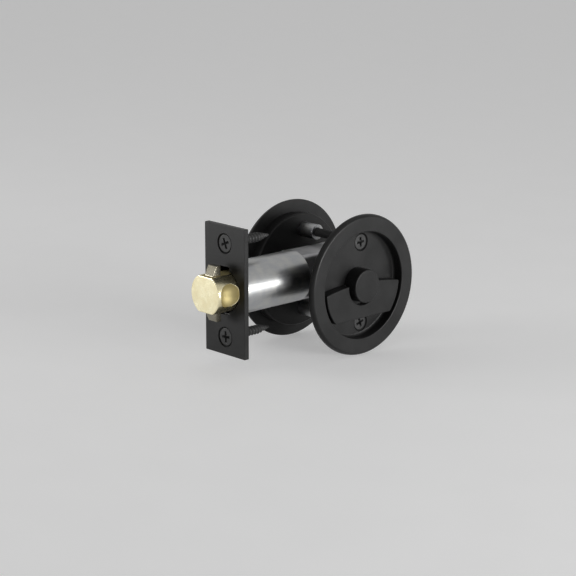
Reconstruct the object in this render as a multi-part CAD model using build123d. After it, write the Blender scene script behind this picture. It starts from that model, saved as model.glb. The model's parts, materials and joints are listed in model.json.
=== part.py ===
from build123d import *
from math import cos, radians, sin, sqrt, tan
import os

# A privacy lock: two round cups screwed together back to back, a turn in the near cup, and an edge latch
# whose brass bolt spreads two steel dogs. Millimetres. The origin is on the bolt's axis, at the back of the
# faceplate. +X runs inwards from the faceplate, -Y faces the turn's side and +Z is up.
# The lock is modelled with its bolt thrown.

# Main sizes
GRIP = 44.45  # between the backs of the two rims
BACKSET = 60.325  # faceplate front to the turn's axis
AXIS_DROP = 3.6  # turn's axis below the bolt's axis

# Clearances
RUN = 0.05  # radial, a shaft that turns in its bore
SLIDE = 0.12  # on each side, flat faces that slide on each other
PRESS = 0.02  # radial, pieces pressed or screwed together
FLOAT = 0.3  # a moving piece and what it passes
PIN_PLAY = 0.4  # on each side, a crank pin in its fork

# Cups
RIM_R = 31.75
RIM_T = 2.47
RIM_EDGE_W = 1.45  # rounding of the rim's outer edge, across
RIM_EDGE_H = 2.2  # and in height
MOUTH_ROUND = 0.3
RECESS_R = 24.1
RECESS_DEPTH = 5.1
FLOOR_ROUND = 0.7
FLOOR_T = 2.4
DISH_R = 26.0
BOSS_R = 8.0
BOSS_L = 2.6

# Screws between the cups
CUP_SCREW_SHIFT = 3.0  # from the turn's axis, away from the faceplate
CUP_SCREW_Z = 18.4  # above and below the turn's axis
CUP_CSK_R = 4.05
CUP_HEAD_R = 3.65
CUP_SCREW_R = 2.0
CUP_SCREW_L = 33.0
CUP_SCREW_TURNS = (4.0, 18.0)  # how each cross recess came to rest, in degrees
SCREW_TIP_ROOM = 2.81  # tapped hole beyond the screw's end
POST_R = 3.5
POST_L = 9.0
POST_SPIGOT_R = 2.6
POST_SPIGOT_L = 1.3

# Turn piece and release
SHAFT_R = 4.6
SHAFT_TAIL = 2.6  # shaft behind the cup's boss
BUTTON_R = 7.5
BUTTON_RISE = 2.1  # above the rim's front
BUTTON_ROUND = 0.5
FLAP_R = 22.7
FLAP_SINK = 0.35  # below the rim's front
FLAP_LOW = 14.9  # lower edge below the axis
FLAP_TOP = 1.1  # top of the arched upper edge above the axis
FLAP_SHOULDER = 1.2  # ends of that edge below the axis
FLAP_CORNER = 0.8
FLAP_ROUND = 0.35
NOTCH_R = 9.0  # round notch in the leaf, about the button
NOTCH_FLOOR = 1.0  # leaf left behind the notch
SOCKET_L = 5.0
SPINDLE_W = 5.0
SPINDLE_EDGE = 0.4
RELEASE_SINK = 0.5  # below the rim's front
COIN_SLOT_W = 1.8
COIN_SLOT_D = 2.0
WASHER_R = 7.6
WASHER_T = 0.5
CLIP_R = 6.8
CLIP_T = 0.8
CLIP_MOUTH = 5.6
GROOVE_DEPTH = 0.55

# Faceplate
FACE_W = 25.4
FACE_H = 57.15
FACE_T = 2.4
FACE_SCREW_SPACING = 41.4
FACE_CSK_R = 4.45
FACE_HEAD_R = 4.1
FACE_SCREW_R = 2.1
FACE_SCREW_L = 25.0
FACE_SCREW_TIP = 6.0
FACE_SCREW_TURNS = (22.0, 3.0)
SCREW_HOLE_GAP = 0.3

# Cross recesses
CROSS_SPAN = 0.62  # of the head's width
CROSS_WIDTH = 1.1
CROSS_DEPTH = 1.2

# Bolt and dogs
THROW = 11.2
BOLT_R = 9.1
BOLT_H = 16.0
BOLT_ROUND = 0.35
BOLT_BODY = 22.4  # from the faceplate's front to the bolt's rear
HOLE_GAP = 0.3
SCOOP_BACK = 4.65  # centre of the side scoops, ahead of the faceplate's front
SCOOP_R = 5.7  # of the ball-ended cutter
SCOOP_FLOOR = 5.7  # from the bolt's axis
SCOOP_STROKE = 1.8  # of the cutter, up and down
DOG_FRONT = 9.0  # ahead of the faceplate's front
DOG_REAR = 4.5
DOG_W = 5.3
DOG_LOW = 4.7
DOG_TIP = 12.25
DOG_LEAN = 25.0  # degrees, front bevel above the bolt
DOG_TRAVEL = 4.5
CAM_SLOPE = 2.0  # dog travel for each millimetre of rod
CAM_PIN_R = 0.6
CAM_PIN_Z = 5.7
CAM_PIN_BACK = 0.8  # ahead of the dog's rear
CAM_PIN_SEAT = 2.2
CAM_RIM = 0.8

# Bars behind the bolt
BAR_T = 1.6
BAR_Y = 2.85  # inner face of each bar from the middle
BAR_LOW = 1.1
BAR_HIGH = 6.5
ROD_HALF = 6.9
ROD_PLATE_L = 24.0
TAIL_HALF = 5.0
TAIL_SEAT = 10.0  # length of the tail inside the bolt
TAIL_STEP = 1.5
TAIL_PIN_R = 1.2
TAIL_PIN_Z = 2.9
FORK_LEG = 2.4
FORK_ROOF = 1.0

# Crank
CRANK_ANGLE = 45.0  # degrees ahead of upright with the bolt thrown
CRANK_PIN_R = 1.25
LEVER_HALF = 2.2
LEVER_RIM = 1.2
NECK_R = 4.3
COLLAR_R = 4.9
COLLAR_IN = 4.75
COLLAR_OUT = 5.7
PIN_SEAT = 2.0

# Tube and case
TUBE_R = 11.5
TUBE_WALL = 1.2
TUBE_L = 38.0
TUBE_SEAT = 1.0
GUIDE_START = 9.0
GUIDE_L = 8.0
GUIDE_GAP = 0.1
SPIGOT_L = 5.0
CASE_L = 36.0
CASE_HALF_H = 10.0
CASE_HALF_W = 7.4
CASE_ROUND = 2.0
CASE_WALL = 1.0
CASE_END = 4.2
COVER_T = 1.4
PASSAGE_HALF = 4.95
PASSAGE_LOW = 0.3
PASSAGE_HIGH = 7.8
COVER_SCREW_R = 1.1
COVER_HEAD_R = 1.9
COVER_SCREW_L = 5.0
COVER_EDGE = 0.5  # cover beyond a screw's head
COVER_SCREW_REAR_Z = 6.5
COVER_SCREW_FRONT_Z = -5.0

# Derived places
FRONT = -FACE_T
AXIS_X = BACKSET - FACE_T
AXIS_Z = -AXIS_DROP
FLOOR = RIM_T - RECESS_DEPTH  # recess floor, from the rim's back
DISH_BACK = FLOOR - FLOOR_T
BOSS_BACK = DISH_BACK - BOSS_L
CUP_HEAD_TOP = FLOOR - (CUP_CSK_R - CUP_HEAD_R) + PRESS  # of the cup screws
CUP_SCREW_END = CUP_SCREW_L - CUP_HEAD_TOP - GRIP  # from the outside rim's back
SHAFT_END = BOSS_BACK - SHAFT_TAIL
LEAF_BACK = FLOOR + FLOAT
BOLT_FRONT = FRONT - THROW
BOLT_REAR = FRONT + BOLT_BODY
ROD_TRAVEL = DOG_TRAVEL / CAM_SLOPE  # of the rod in the bolt
BAR_OUT = BAR_Y + BAR_T
TUBE_IN = TUBE_R - TUBE_WALL
CASE_FRONT = TUBE_L
CASE_REAR = CASE_FRONT + CASE_L
CAVITY_HALF_W = CASE_HALF_W - COVER_T
CAVITY_HALF_H = CASE_HALF_H - CASE_WALL


# Local frames: the cups' have +z out of the recess, the screws' in the faceplate +z out of its front
INSIDE = Plane((AXIS_X, -GRIP / 2, AXIS_Z), x_dir=(1, 0, 0), z_dir=(0, -1, 0))
OUTSIDE = Plane((AXIS_X, GRIP / 2, AXIS_Z), x_dir=(-1, 0, 0), z_dir=(0, 1, 0))


def face_plane(z):
    """Frame on the front of the faceplate, at a height."""
    return Plane((FRONT, 0, z), x_dir=(0, -1, 0), z_dir=(-1, 0, 0))


def outline(*points):
    """A flat face with straight sides."""
    return make_face(Polyline(*points, close=True))


def block(low, high):
    """A flat rectangle between two corners."""
    size = (high[0] - low[0], high[1] - low[1])
    return Pos((low[0] + high[0]) / 2, (low[1] + high[1]) / 2) * Rectangle(*size)


def slab(sketch, y_low, y_high):
    """A plate drawn in X and Z, between two values of Y."""
    return extrude(Plane.XZ.offset(-y_high) * sketch, amount=y_high - y_low)


def bar(sketch, x_low, x_high):
    """A length drawn in Y and Z, between two values of X."""
    return extrude(Plane.YZ.offset(x_low) * sketch, amount=x_high - x_low)


def turned(edges):
    """A solid turned about local z, from edges in radius and height."""
    return revolve(Plane.XZ * make_face(edges), Axis.Z)


def disc(radius, low, high):
    """A plain cylinder on local z between two heights."""
    return extrude(Plane.XY.offset(low) * Circle(radius), amount=high - low)


def square_bar(width, low, high):
    """A square bar on local z between two heights."""
    return extrude(Plane.XY.offset(low) * Rectangle(width, width), amount=high - low)


def countersink(top_r, hole_r, depth):
    """The space for a flat head and its shank, below z = 0, with sides at 45 degrees."""
    cone = top_r - hole_r
    points = [(0, 0), (top_r, 0), (hole_r, -cone), (hole_r, -depth), (0, -depth)]
    return turned(Polyline(*points, close=True))


def cross_recess(head_r, turn):
    """A cross-shaped driver recess in a head whose top is at z = 0."""
    wing = Box(2 * head_r * CROSS_SPAN, CROSS_WIDTH, 2 * CROSS_DEPTH)
    point = Pos(0, 0, -CROSS_DEPTH / 2) * Cone(0, CROSS_WIDTH, CROSS_DEPTH + CROSS_WIDTH / 2)
    return Rot(0, 0, turn) * (wing + Rot(0, 0, 90) * wing + point)


def flat_screw(head_r, shank_r, length, tip, turn):
    """A countersunk screw with its head's top at z = 0. A tip of 0 leaves a blunt end."""
    cone = head_r - shank_r
    end_r = shank_r if tip == 0 else shank_r / 5
    points = [(0, 0), (head_r, 0), (shank_r, -cone), (shank_r, tip - length)]
    if tip > 0:
        points.append((end_r, -length))
    points.append((0, -length))
    return turned(Polyline(*points, close=True)) - cross_recess(head_r, turn)


def cup_screw_places(sign):
    """The two screw places on a cup, in its local x and y."""
    return [(sign * CUP_SCREW_SHIFT, CUP_SCREW_Z), (sign * CUP_SCREW_SHIFT, -CUP_SCREW_Z)]


# Cups
def cup_shell():
    """Rim, recess wall, floor and bearing boss, turned as one shell."""
    bore = SHAFT_R + RUN
    edge_z = RIM_T - RIM_EDGE_H
    rim_x = RIM_R - RIM_EDGE_W
    round_x = RECESS_R - FLOOR_ROUND
    shell = [
        Line((RECESS_R + MOUTH_ROUND, RIM_T), (rim_x, RIM_T)),
        EllipticalCenterArc((rim_x, edge_z), RIM_EDGE_W, RIM_EDGE_H, start_angle=0, arc_size=90),
        Polyline(
            (RIM_R, edge_z),
            (RIM_R, 0),
            (DISH_R, 0),
            (DISH_R, DISH_BACK),
            (BOSS_R, DISH_BACK),
            (BOSS_R, BOSS_BACK),
            (bore, BOSS_BACK),
            (bore, FLOOR),
            (round_x, FLOOR),
        ),
        CenterArc((round_x, FLOOR + FLOOR_ROUND), FLOOR_ROUND, 270, 90),
        Line((RECESS_R, FLOOR + FLOOR_ROUND), (RECESS_R, RIM_T - MOUTH_ROUND)),
        CenterArc((RECESS_R + MOUTH_ROUND, RIM_T - MOUTH_ROUND), MOUTH_ROUND, 90, 90),
    ]
    return turned(shell)


def inside_cup():
    cup = cup_shell()
    for x, y in cup_screw_places(1):
        cup -= Pos(x, y, FLOOR) * countersink(CUP_CSK_R, CUP_SCREW_R + SCREW_HOLE_GAP, FLOOR_T)
    return INSIDE * cup


def post_bore():
    """Tapped hole in a post, past the end of its screw. A longer screw takes it on into the cup."""
    return disc(CUP_SCREW_R + PRESS, DISH_BACK - POST_L, CUP_SCREW_END + SCREW_TIP_ROOM)


def outside_cup():
    cup = cup_shell()
    seat = disc(POST_SPIGOT_R + PRESS, DISH_BACK, DISH_BACK + POST_SPIGOT_L)
    for x, y in cup_screw_places(-1):
        cup -= Pos(x, y) * (seat + post_bore())
    return OUTSIDE * cup


def screw_posts():
    post = disc(POST_R, DISH_BACK - POST_L, DISH_BACK)
    post += disc(POST_SPIGOT_R, DISH_BACK, DISH_BACK + POST_SPIGOT_L)
    post -= post_bore()
    return OUTSIDE * Compound([Pos(x, y) * post for x, y in cup_screw_places(-1)])


def cup_screws():
    screws = []
    for (x, y), turn in zip(cup_screw_places(1), CUP_SCREW_TURNS):
        screw = flat_screw(CUP_HEAD_R, CUP_SCREW_R, CUP_SCREW_L, 0, turn)
        screws.append(Pos(x, y, CUP_HEAD_TOP) * screw)
    return INSIDE * Compound(screws)


# Turn piece, release and what holds them
def flap():
    """The half-round leaf: arched top edge, ends on a circle, straight lower edge, round notch."""
    top_x = sqrt(FLAP_R**2 - FLAP_SHOULDER**2)
    low_x = sqrt(FLAP_R**2 - FLAP_LOW**2)
    middle = (FLAP_SHOULDER + FLAP_LOW) / 2
    side_x = sqrt(FLAP_R**2 - middle**2)
    leaf = make_face(
        [
            ThreePointArc((-top_x, -FLAP_SHOULDER), (0, FLAP_TOP), (top_x, -FLAP_SHOULDER)),
            ThreePointArc((top_x, -FLAP_SHOULDER), (side_x, -middle), (low_x, -FLAP_LOW)),
            Line((low_x, -FLAP_LOW), (-low_x, -FLAP_LOW)),
            ThreePointArc((-low_x, -FLAP_LOW), (-side_x, -middle), (-top_x, -FLAP_SHOULDER)),
        ]
    )
    leaf = fillet(leaf.vertices(), FLAP_CORNER)
    top = RIM_T - FLAP_SINK
    plate = extrude(Plane.XY.offset(LEAF_BACK) * leaf, amount=top - LEAF_BACK)
    plate = fillet(plate.faces().sort_by(Axis.Z)[-1].edges(), FLAP_ROUND)
    return plate - disc(NOTCH_R, LEAF_BACK + NOTCH_FLOOR, top)


def button_and_shaft(top):
    """Shaft with a square socket and a clip groove, and a round button up to a height."""
    button = disc(BUTTON_R, LEAF_BACK, top)
    button = fillet(button.faces().sort_by(Axis.Z)[-1].edges(), BUTTON_ROUND)
    body = disc(SHAFT_R, SHAFT_END, LEAF_BACK) + button
    body -= square_bar(SPINDLE_W + 2 * PRESS, SHAFT_END, SHAFT_END + SOCKET_L)
    groove_top = BOSS_BACK - RUN - WASHER_T
    groove = disc(SHAFT_R, groove_top - CLIP_T, groove_top)
    return body - (groove - disc(SHAFT_R - GROOVE_DEPTH, groove_top - CLIP_T, groove_top))


def turn_piece():
    return INSIDE * (button_and_shaft(RIM_T + BUTTON_RISE) + flap())


def release():
    top = RIM_T - RELEASE_SINK
    slot = Pos(0, 0, top) * Box(2 * BUTTON_R, COIN_SLOT_W, 2 * COIN_SLOT_D)
    return OUTSIDE * (button_and_shaft(top) - slot)


def washer():
    top = BOSS_BACK - RUN
    return disc(WASHER_R, top - WASHER_T, top) - disc(SHAFT_R + PRESS, top - WASHER_T, top)


def clip():
    """An open ring in the shaft's groove, with its mouth downwards."""
    top = BOSS_BACK - RUN - WASHER_T
    low = top - CLIP_T
    ring = disc(CLIP_R, low, top) - disc(SHAFT_R - GROOVE_DEPTH + PRESS, low, top)
    return ring - Pos(0, -CLIP_R, (low + top) / 2) * Box(CLIP_MOUTH, 2 * CLIP_R, CLIP_T)


def spindle():
    reach = GRIP / 2 + SHAFT_END + SOCKET_L
    square = Pos(AXIS_X, AXIS_Z) * Rectangle(SPINDLE_W, SPINDLE_W)
    square = chamfer(square.vertices(), SPINDLE_EDGE)
    return slab(square, -reach, reach)


# Crank: each pin runs from as far ahead of the axis to as far behind it, so its radius follows from the travel
def pin_place(travel):
    """X and Z of a crank pin with the bolt thrown."""
    radius = travel / (2 * sin(radians(CRANK_ANGLE)))
    return (
        AXIS_X - radius * sin(radians(CRANK_ANGLE)),
        AXIS_Z + radius * cos(radians(CRANK_ANGLE)),
    )


def pin_top(travel):
    """Height of a crank pin's axis halfway, where the lever stands upright."""
    return AXIS_Z + travel / (2 * sin(radians(CRANK_ANGLE)))


BOLT_PIN = pin_place(THROW)
ROD_PIN = pin_place(THROW + ROD_TRAVEL)


def crank():
    axis = Pos(AXIS_X, AXIS_Z)
    eye = Pos(*ROD_PIN) * Circle(CRANK_PIN_R + LEVER_RIM)
    lever = make_hull((axis * Circle(COLLAR_R) + eye).edges())
    end = CASE_HALF_W
    body = slab(lever, -LEVER_HALF, LEVER_HALF) + slab(axis * Circle(NECK_R), -end, end)
    for low, high in ((-COLLAR_OUT, -COLLAR_IN), (COLLAR_IN, COLLAR_OUT)):
        body += slab(axis * Circle(COLLAR_R), low, high)
    hole = SPINDLE_W + 2 * PRESS
    body -= slab(axis * Rectangle(hole, hole), -end, end)
    seat = CRANK_PIN_R + PRESS
    body -= slab(Pos(*BOLT_PIN) * Circle(seat), -LEVER_HALF, PIN_SEAT - LEVER_HALF)
    body -= slab(Pos(*ROD_PIN) * Circle(seat), LEVER_HALF - PIN_SEAT, LEVER_HALF)
    return body


def crank_pins():
    bolt_pin = slab(Pos(*BOLT_PIN) * Circle(CRANK_PIN_R), -BAR_OUT, PIN_SEAT - LEVER_HALF)
    rod_pin = slab(Pos(*ROD_PIN) * Circle(CRANK_PIN_R), LEVER_HALF - PIN_SEAT, BAR_OUT)
    return Compound([bolt_pin, rod_pin])


def fork(pin, travel):
    """The end of a bar that straddles a crank pin, open below, and the space for the pin."""
    half = CRANK_PIN_R + PIN_PLAY
    roof = pin_top(travel) + half
    leg = half + FORK_LEG
    body = block((pin[0] - leg, BAR_LOW), (pin[0] + leg, roof + FORK_ROOF))
    space = block((pin[0] - half, BAR_LOW), (pin[0] + half, roof - half))
    return body, space + Pos(pin[0], roof - half) * Circle(half)


# Bolt, dogs and their bars
def bolt_section(gap=0.0):
    """The bolt's round section with flats above and below."""
    flats = Rectangle(2 * (BOLT_R + gap), BOLT_H + 2 * gap)
    return Circle(BOLT_R + gap) & flats


def tail_pin_places():
    x = BOLT_REAR - TAIL_SEAT / 2
    return [(x, TAIL_PIN_Z), (x, -TAIL_PIN_Z)]


def bolt():
    body = bar(bolt_section(), BOLT_FRONT, BOLT_REAR)
    body = fillet(body.faces().sort_by(Axis.X)[0].edges(), BOLT_ROUND)
    cutter = Cylinder(SCOOP_R, SCOOP_STROKE)
    for z in (-SCOOP_STROKE / 2, SCOOP_STROKE / 2):
        cutter += Pos(0, 0, z) * Sphere(SCOOP_R)
    for y in (-SCOOP_FLOOR - SCOOP_R, SCOOP_FLOOR + SCOOP_R):
        body -= Pos(FRONT - SCOOP_BACK, y, 0) * cutter
    dog_low = (FRONT - DOG_FRONT - SLIDE, -BOLT_R)
    dog_high = (FRONT - DOG_REAR + SLIDE, BOLT_R)
    dog_half = DOG_W / 2 + SLIDE
    body -= slab(block(dog_low, dog_high), -dog_half, dog_half)
    rod_low = (rod_front() - SLIDE, -ROD_HALF - SLIDE)
    rod_high = (BOLT_REAR, ROD_HALF + SLIDE)
    body -= slab(block(rod_low, rod_high), BAR_Y - SLIDE, BAR_OUT + SLIDE)
    tail_low = (BOLT_REAR - TAIL_SEAT, -TAIL_HALF - PRESS)
    tail_high = (BOLT_REAR, TAIL_HALF + PRESS)
    body -= slab(block(tail_low, tail_high), -BAR_OUT - PRESS, PRESS - BAR_Y)
    for place in tail_pin_places():
        body -= slab(Pos(*place) * Circle(TAIL_PIN_R + PRESS), -BOLT_R, 0)
    return body


def bolt_tail():
    start = BOLT_REAR - TAIL_SEAT
    tongue = block((start, -TAIL_HALF), (BOLT_REAR - TAIL_STEP, TAIL_HALF))
    body, space = fork(BOLT_PIN, THROW)
    plate = tongue + block((start, BAR_LOW), (BOLT_PIN[0], BAR_HIGH)) - space
    for place in tail_pin_places():
        plate -= Pos(*place) * Circle(TAIL_PIN_R + PRESS)
    tongue_high = block((start, TAIL_HALF), (BOLT_REAR, BAR_HIGH))
    return slab(plate + (body - space) - tongue_high, -BAR_OUT, -BAR_Y)


def tail_pins():
    reach = sqrt(BOLT_R**2 - (TAIL_PIN_Z + TAIL_PIN_R) ** 2)
    pins = [slab(Pos(*p) * Circle(TAIL_PIN_R), -reach, 0) for p in tail_pin_places()]
    return Compound(pins)


def cam_pin_x():
    return FRONT - DOG_REAR - CAM_PIN_BACK


def rod_front():
    """Front of the rod: past the far end of its sloping slots."""
    return cam_pin_x() - ROD_TRAVEL - CAM_PIN_R - SLIDE - CAM_RIM


def dog_rod():
    """Flat rod with a sloping slot for each dog's pin, and a fork for the crank."""
    front = rod_front()
    body, space = fork(ROD_PIN, THROW + ROD_TRAVEL)
    plate = block((front, -ROD_HALF), (front + ROD_PLATE_L, ROD_HALF))
    plate += block((front, BAR_LOW), (ROD_PIN[0], BAR_HIGH))
    plate += body
    plate -= space
    slot_r = CAM_PIN_R + SLIDE
    for sign in (1, -1):
        rest = Vector(cam_pin_x(), sign * CAM_PIN_Z)
        drawn = rest - Vector(ROD_TRAVEL, sign * DOG_TRAVEL)
        ends = Pos(rest.X, rest.Y) * Circle(slot_r) + Pos(drawn.X, drawn.Y) * Circle(slot_r)
        plate -= make_hull(ends.edges())
    return slab(plate, BAR_Y, BAR_OUT)


def dog():
    """The upper dog: a block that slides up out of the bolt, with its front bevelled above the bolt."""
    front = FRONT - DOG_FRONT
    rear = FRONT - DOG_REAR
    flat = BOLT_H / 2
    tip_x = front + (DOG_TIP - flat) * tan(radians(DOG_LEAN))
    shape = outline((front, DOG_LOW), (rear, DOG_LOW), (rear, DOG_TIP), (tip_x, DOG_TIP), (front, flat))
    body = slab(shape, -DOG_W / 2, DOG_W / 2)
    seat = Pos(cam_pin_x(), CAM_PIN_Z) * Circle(CAM_PIN_R + PRESS)
    return body - slab(seat, DOG_W / 2 - CAM_PIN_SEAT, DOG_W / 2)


def dog_pin():
    place = Pos(cam_pin_x(), CAM_PIN_Z) * Circle(CAM_PIN_R)
    return slab(place, DOG_W / 2 - CAM_PIN_SEAT, BAR_OUT)


# Faceplate and its screws
def screw_heights():
    return (FACE_SCREW_SPACING / 2, -FACE_SCREW_SPACING / 2)


def faceplate():
    """Plate with countersunk holes, a seat for the tube, and a hole that lets part-drawn dogs through."""
    plate = bar(Rectangle(FACE_W, FACE_H), FRONT, 0)
    dog_at_plate = DOG_TIP - DOG_TRAVEL * DOG_REAR / THROW
    notch = Rectangle(DOG_W + 2 * FLOAT, 2 * (dog_at_plate + FLOAT))
    plate -= bar(Circle(BOLT_R + HOLE_GAP) + notch, FRONT, 0)
    plate -= bar(Circle(TUBE_R + PRESS), -TUBE_SEAT, 0)
    for z in screw_heights():
        plate -= face_plane(z) * countersink(FACE_CSK_R, FACE_SCREW_R + SCREW_HOLE_GAP / 2, FACE_T)
    return plate


def faceplate_screws():
    screws = []
    sink = FACE_CSK_R - FACE_HEAD_R - PRESS
    for z, turn in zip(screw_heights(), FACE_SCREW_TURNS):
        screw = flat_screw(FACE_HEAD_R, FACE_SCREW_R, FACE_SCREW_L, FACE_SCREW_TIP, turn)
        screws.append(face_plane(z) * Pos(0, 0, -sink) * screw)
    return Compound(screws)


# Tube and case
def latch_tube():
    return bar(Circle(TUBE_R) - Circle(TUBE_IN), -TUBE_SEAT, TUBE_L)


def bolt_guide():
    ring = Circle(TUBE_IN - PRESS) - bolt_section(GUIDE_GAP)
    return bar(ring, GUIDE_START, GUIDE_START + GUIDE_L)


def cover_screw_places():
    rear = CASE_REAR - COVER_EDGE - COVER_HEAD_R
    front = CASE_FRONT + COVER_EDGE + COVER_HEAD_R
    return [
        (rear, COVER_SCREW_REAR_Z),
        (rear, -COVER_SCREW_REAR_Z),
        (front, COVER_SCREW_FRONT_Z),
    ]


def crank_bore(y_low, y_high):
    return slab(Pos(AXIS_X, AXIS_Z) * Circle(NECK_R + RUN), y_low, y_high)


def rear_case():
    """Cast case with a spigot in the tube, open on the cover's side."""
    shell = bar(block((-CASE_HALF_W, -CASE_HALF_H), (CAVITY_HALF_W, CASE_HALF_H)), CASE_FRONT, CASE_REAR)
    far_edges = shell.faces().sort_by(Axis.Y)[0].edges().filter_by(Axis.X)
    shell = fillet(far_edges, CASE_ROUND)
    shell += bar(Circle(TUBE_IN - PRESS), CASE_FRONT - SPIGOT_L, CASE_FRONT)
    low = (CASE_FRONT + CASE_END, -CAVITY_HALF_H)
    high = (CASE_REAR - CASE_END, CAVITY_HALF_H)
    shell -= slab(block(low, high), -CAVITY_HALF_W, CAVITY_HALF_W)
    passage = block((-PASSAGE_HALF, PASSAGE_LOW), (PASSAGE_HALF, PASSAGE_HIGH))
    shell -= bar(passage, CASE_FRONT - SPIGOT_L, CASE_FRONT + CASE_END)
    shell -= crank_bore(-CASE_HALF_W, -CAVITY_HALF_W)
    for place in cover_screw_places():
        hole = Pos(*place) * Circle(COVER_SCREW_R + PRESS)
        shell -= slab(hole, CASE_HALF_W - COVER_SCREW_L - FLOAT, CAVITY_HALF_W)
    return shell


def cover_frame(place):
    """Frame on the outside of the cover at a screw."""
    return Plane((place[0], CASE_HALF_W, place[1]), x_dir=(-1, 0, 0), z_dir=(0, 1, 0))


def case_cover():
    cover = slab(block((CASE_FRONT, -CASE_HALF_H), (CASE_REAR, CASE_HALF_H)), CAVITY_HALF_W, CASE_HALF_W)
    cover -= crank_bore(CAVITY_HALF_W, CASE_HALF_W)
    for place in cover_screw_places():
        cover -= cover_frame(place) * countersink(COVER_HEAD_R + PRESS, COVER_SCREW_R + PRESS, COVER_T)
    return cover


def cover_screws():
    screws = []
    for place in cover_screw_places():
        screw = flat_screw(COVER_HEAD_R, COVER_SCREW_R, COVER_SCREW_L, 0, 0)
        screws.append(cover_frame(place) * screw)
    return Compound(screws)


PARTS = {
    "inside_cup": inside_cup(),
    "outside_cup": outside_cup(),
    "screw_posts": screw_posts(),
    "cup_screws": cup_screws(),
    "faceplate": faceplate(),
    "faceplate_screws": faceplate_screws(),
    "latch_tube": latch_tube(),
    "bolt_guide": bolt_guide(),
    "rear_case": rear_case(),
    "case_cover": case_cover(),
    "cover_screws": cover_screws(),
    "turn_piece": turn_piece(),
    "turn_washer": INSIDE * washer(),
    "turn_clip": INSIDE * clip(),
    "spindle": spindle(),
    "crank": crank(),
    "crank_pins": crank_pins(),
    "release": release(),
    "release_washer": OUTSIDE * washer(),
    "release_clip": OUTSIDE * clip(),
    "bolt": bolt(),
    "bolt_tail": bolt_tail(),
    "tail_pins": tail_pins(),
    "dog_rod": dog_rod(),
    "dog_upper": dog(),
    "dog_upper_pin": dog_pin(),
    "dog_lower": mirror(dog(), Plane.XY),
    "dog_lower_pin": mirror(dog_pin(), Plane.XY),
}

os.makedirs("parts", exist_ok=True)
for name, shape in PARTS.items():
    export_step(shape, f"parts/{name}.step")
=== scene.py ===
# %% [markdown]
# # A pocket door lock, dressed on its frame
#
# Two round black cups are screwed together back to back. The near one holds a half-round turn, and an edge
# latch beside them carries a brass bolt with two steel dogs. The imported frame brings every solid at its
# real size and place, in metres. This lesson rebuilds the pieces that show, with rounded edges and real
# threads, and gives each surface a finish made only of nodes.

# %% Load the frame
import json
import math

import bmesh
import bpy
from mathutils import Matrix, Vector


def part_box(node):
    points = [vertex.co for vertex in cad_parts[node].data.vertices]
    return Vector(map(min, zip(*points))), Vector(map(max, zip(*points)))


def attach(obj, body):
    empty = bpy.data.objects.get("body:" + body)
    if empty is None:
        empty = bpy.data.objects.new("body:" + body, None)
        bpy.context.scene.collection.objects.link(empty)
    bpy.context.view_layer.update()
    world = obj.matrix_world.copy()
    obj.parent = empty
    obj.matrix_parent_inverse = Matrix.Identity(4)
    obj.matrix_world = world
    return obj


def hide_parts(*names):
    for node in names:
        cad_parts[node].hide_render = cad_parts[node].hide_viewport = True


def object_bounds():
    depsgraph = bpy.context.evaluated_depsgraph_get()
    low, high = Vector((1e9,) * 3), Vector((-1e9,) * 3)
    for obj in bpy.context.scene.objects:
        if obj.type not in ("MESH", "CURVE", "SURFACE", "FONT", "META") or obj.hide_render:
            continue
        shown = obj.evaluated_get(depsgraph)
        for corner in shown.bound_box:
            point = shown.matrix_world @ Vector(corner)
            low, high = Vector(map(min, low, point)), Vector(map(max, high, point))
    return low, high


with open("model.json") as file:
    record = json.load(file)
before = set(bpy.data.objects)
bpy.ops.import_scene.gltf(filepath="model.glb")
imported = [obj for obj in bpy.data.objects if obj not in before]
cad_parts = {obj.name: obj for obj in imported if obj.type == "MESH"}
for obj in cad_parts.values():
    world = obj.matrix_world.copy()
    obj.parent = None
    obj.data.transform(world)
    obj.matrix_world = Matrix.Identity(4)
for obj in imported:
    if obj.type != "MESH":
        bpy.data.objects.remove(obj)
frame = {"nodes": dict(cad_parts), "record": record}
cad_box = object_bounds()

MM = 0.001


def in_mm(corners):
    """A box's corners in millimetres, for printing."""
    return [[round(c / MM, 2) for c in corner] for corner in corners]


print("CAD box in mm:", in_mm(cad_box))

# %% [markdown]
# ## Writing nodes as sums
#
# Finishes and turned shapes are both node trees. Adding each node by hand takes many lines, so one class
# wraps an output socket and turns Python's own operators into Math nodes, and another adds any other node
# from its type, its settings and the values of its sockets. The settings go first, because some of them
# decide which sockets a node has.

# %% Wires and trees
class Wire:
    """An output socket. A sum written with wires adds the Math nodes that work it out."""

    def __init__(self, tree, socket):
        self.tree = tree
        self.socket = socket

    def math(self, operation, *values):
        return self.tree.node("ShaderNodeMath", {"operation": operation}, dict(enumerate(values)))

    def __add__(self, other):
        return self.math("ADD", self, other)

    def __sub__(self, other):
        return self.math("SUBTRACT", self, other)

    def __rsub__(self, other):
        return self.math("SUBTRACT", other, self)

    def __mul__(self, other):
        return self.math("MULTIPLY", self, other)

    def __truediv__(self, other):
        return self.math("DIVIDE", self, other)

    __radd__ = __add__
    __rmul__ = __mul__


class Tree:
    """A node tree, of a material or of Geometry Nodes, that is written as calls."""

    def __init__(self, node_tree):
        self.node_tree = node_tree

    def node(self, kind, settings=None, sockets=None, out=0):
        made = self.node_tree.nodes.new(kind)
        for name, value in (settings or {}).items():
            setattr(made, name, value)
        for key, value in (sockets or {}).items():
            if isinstance(value, Wire):
                self.node_tree.links.new(value.socket, made.inputs[key])
            else:
                made.inputs[key].default_value = value
        return Wire(self, made.outputs[out]) if made.outputs else made

    def smooth_step(self, value, low, high, to_low=0.0, to_high=1.0):
        """Runs from one value to another as the first one goes from low to high."""
        sockets = {"Value": value, "From Min": low, "From Max": high, "To Min": to_low, "To Max": to_high}
        return self.node("ShaderNodeMapRange", {"interpolation_type": "SMOOTHSTEP"}, sockets)


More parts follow.
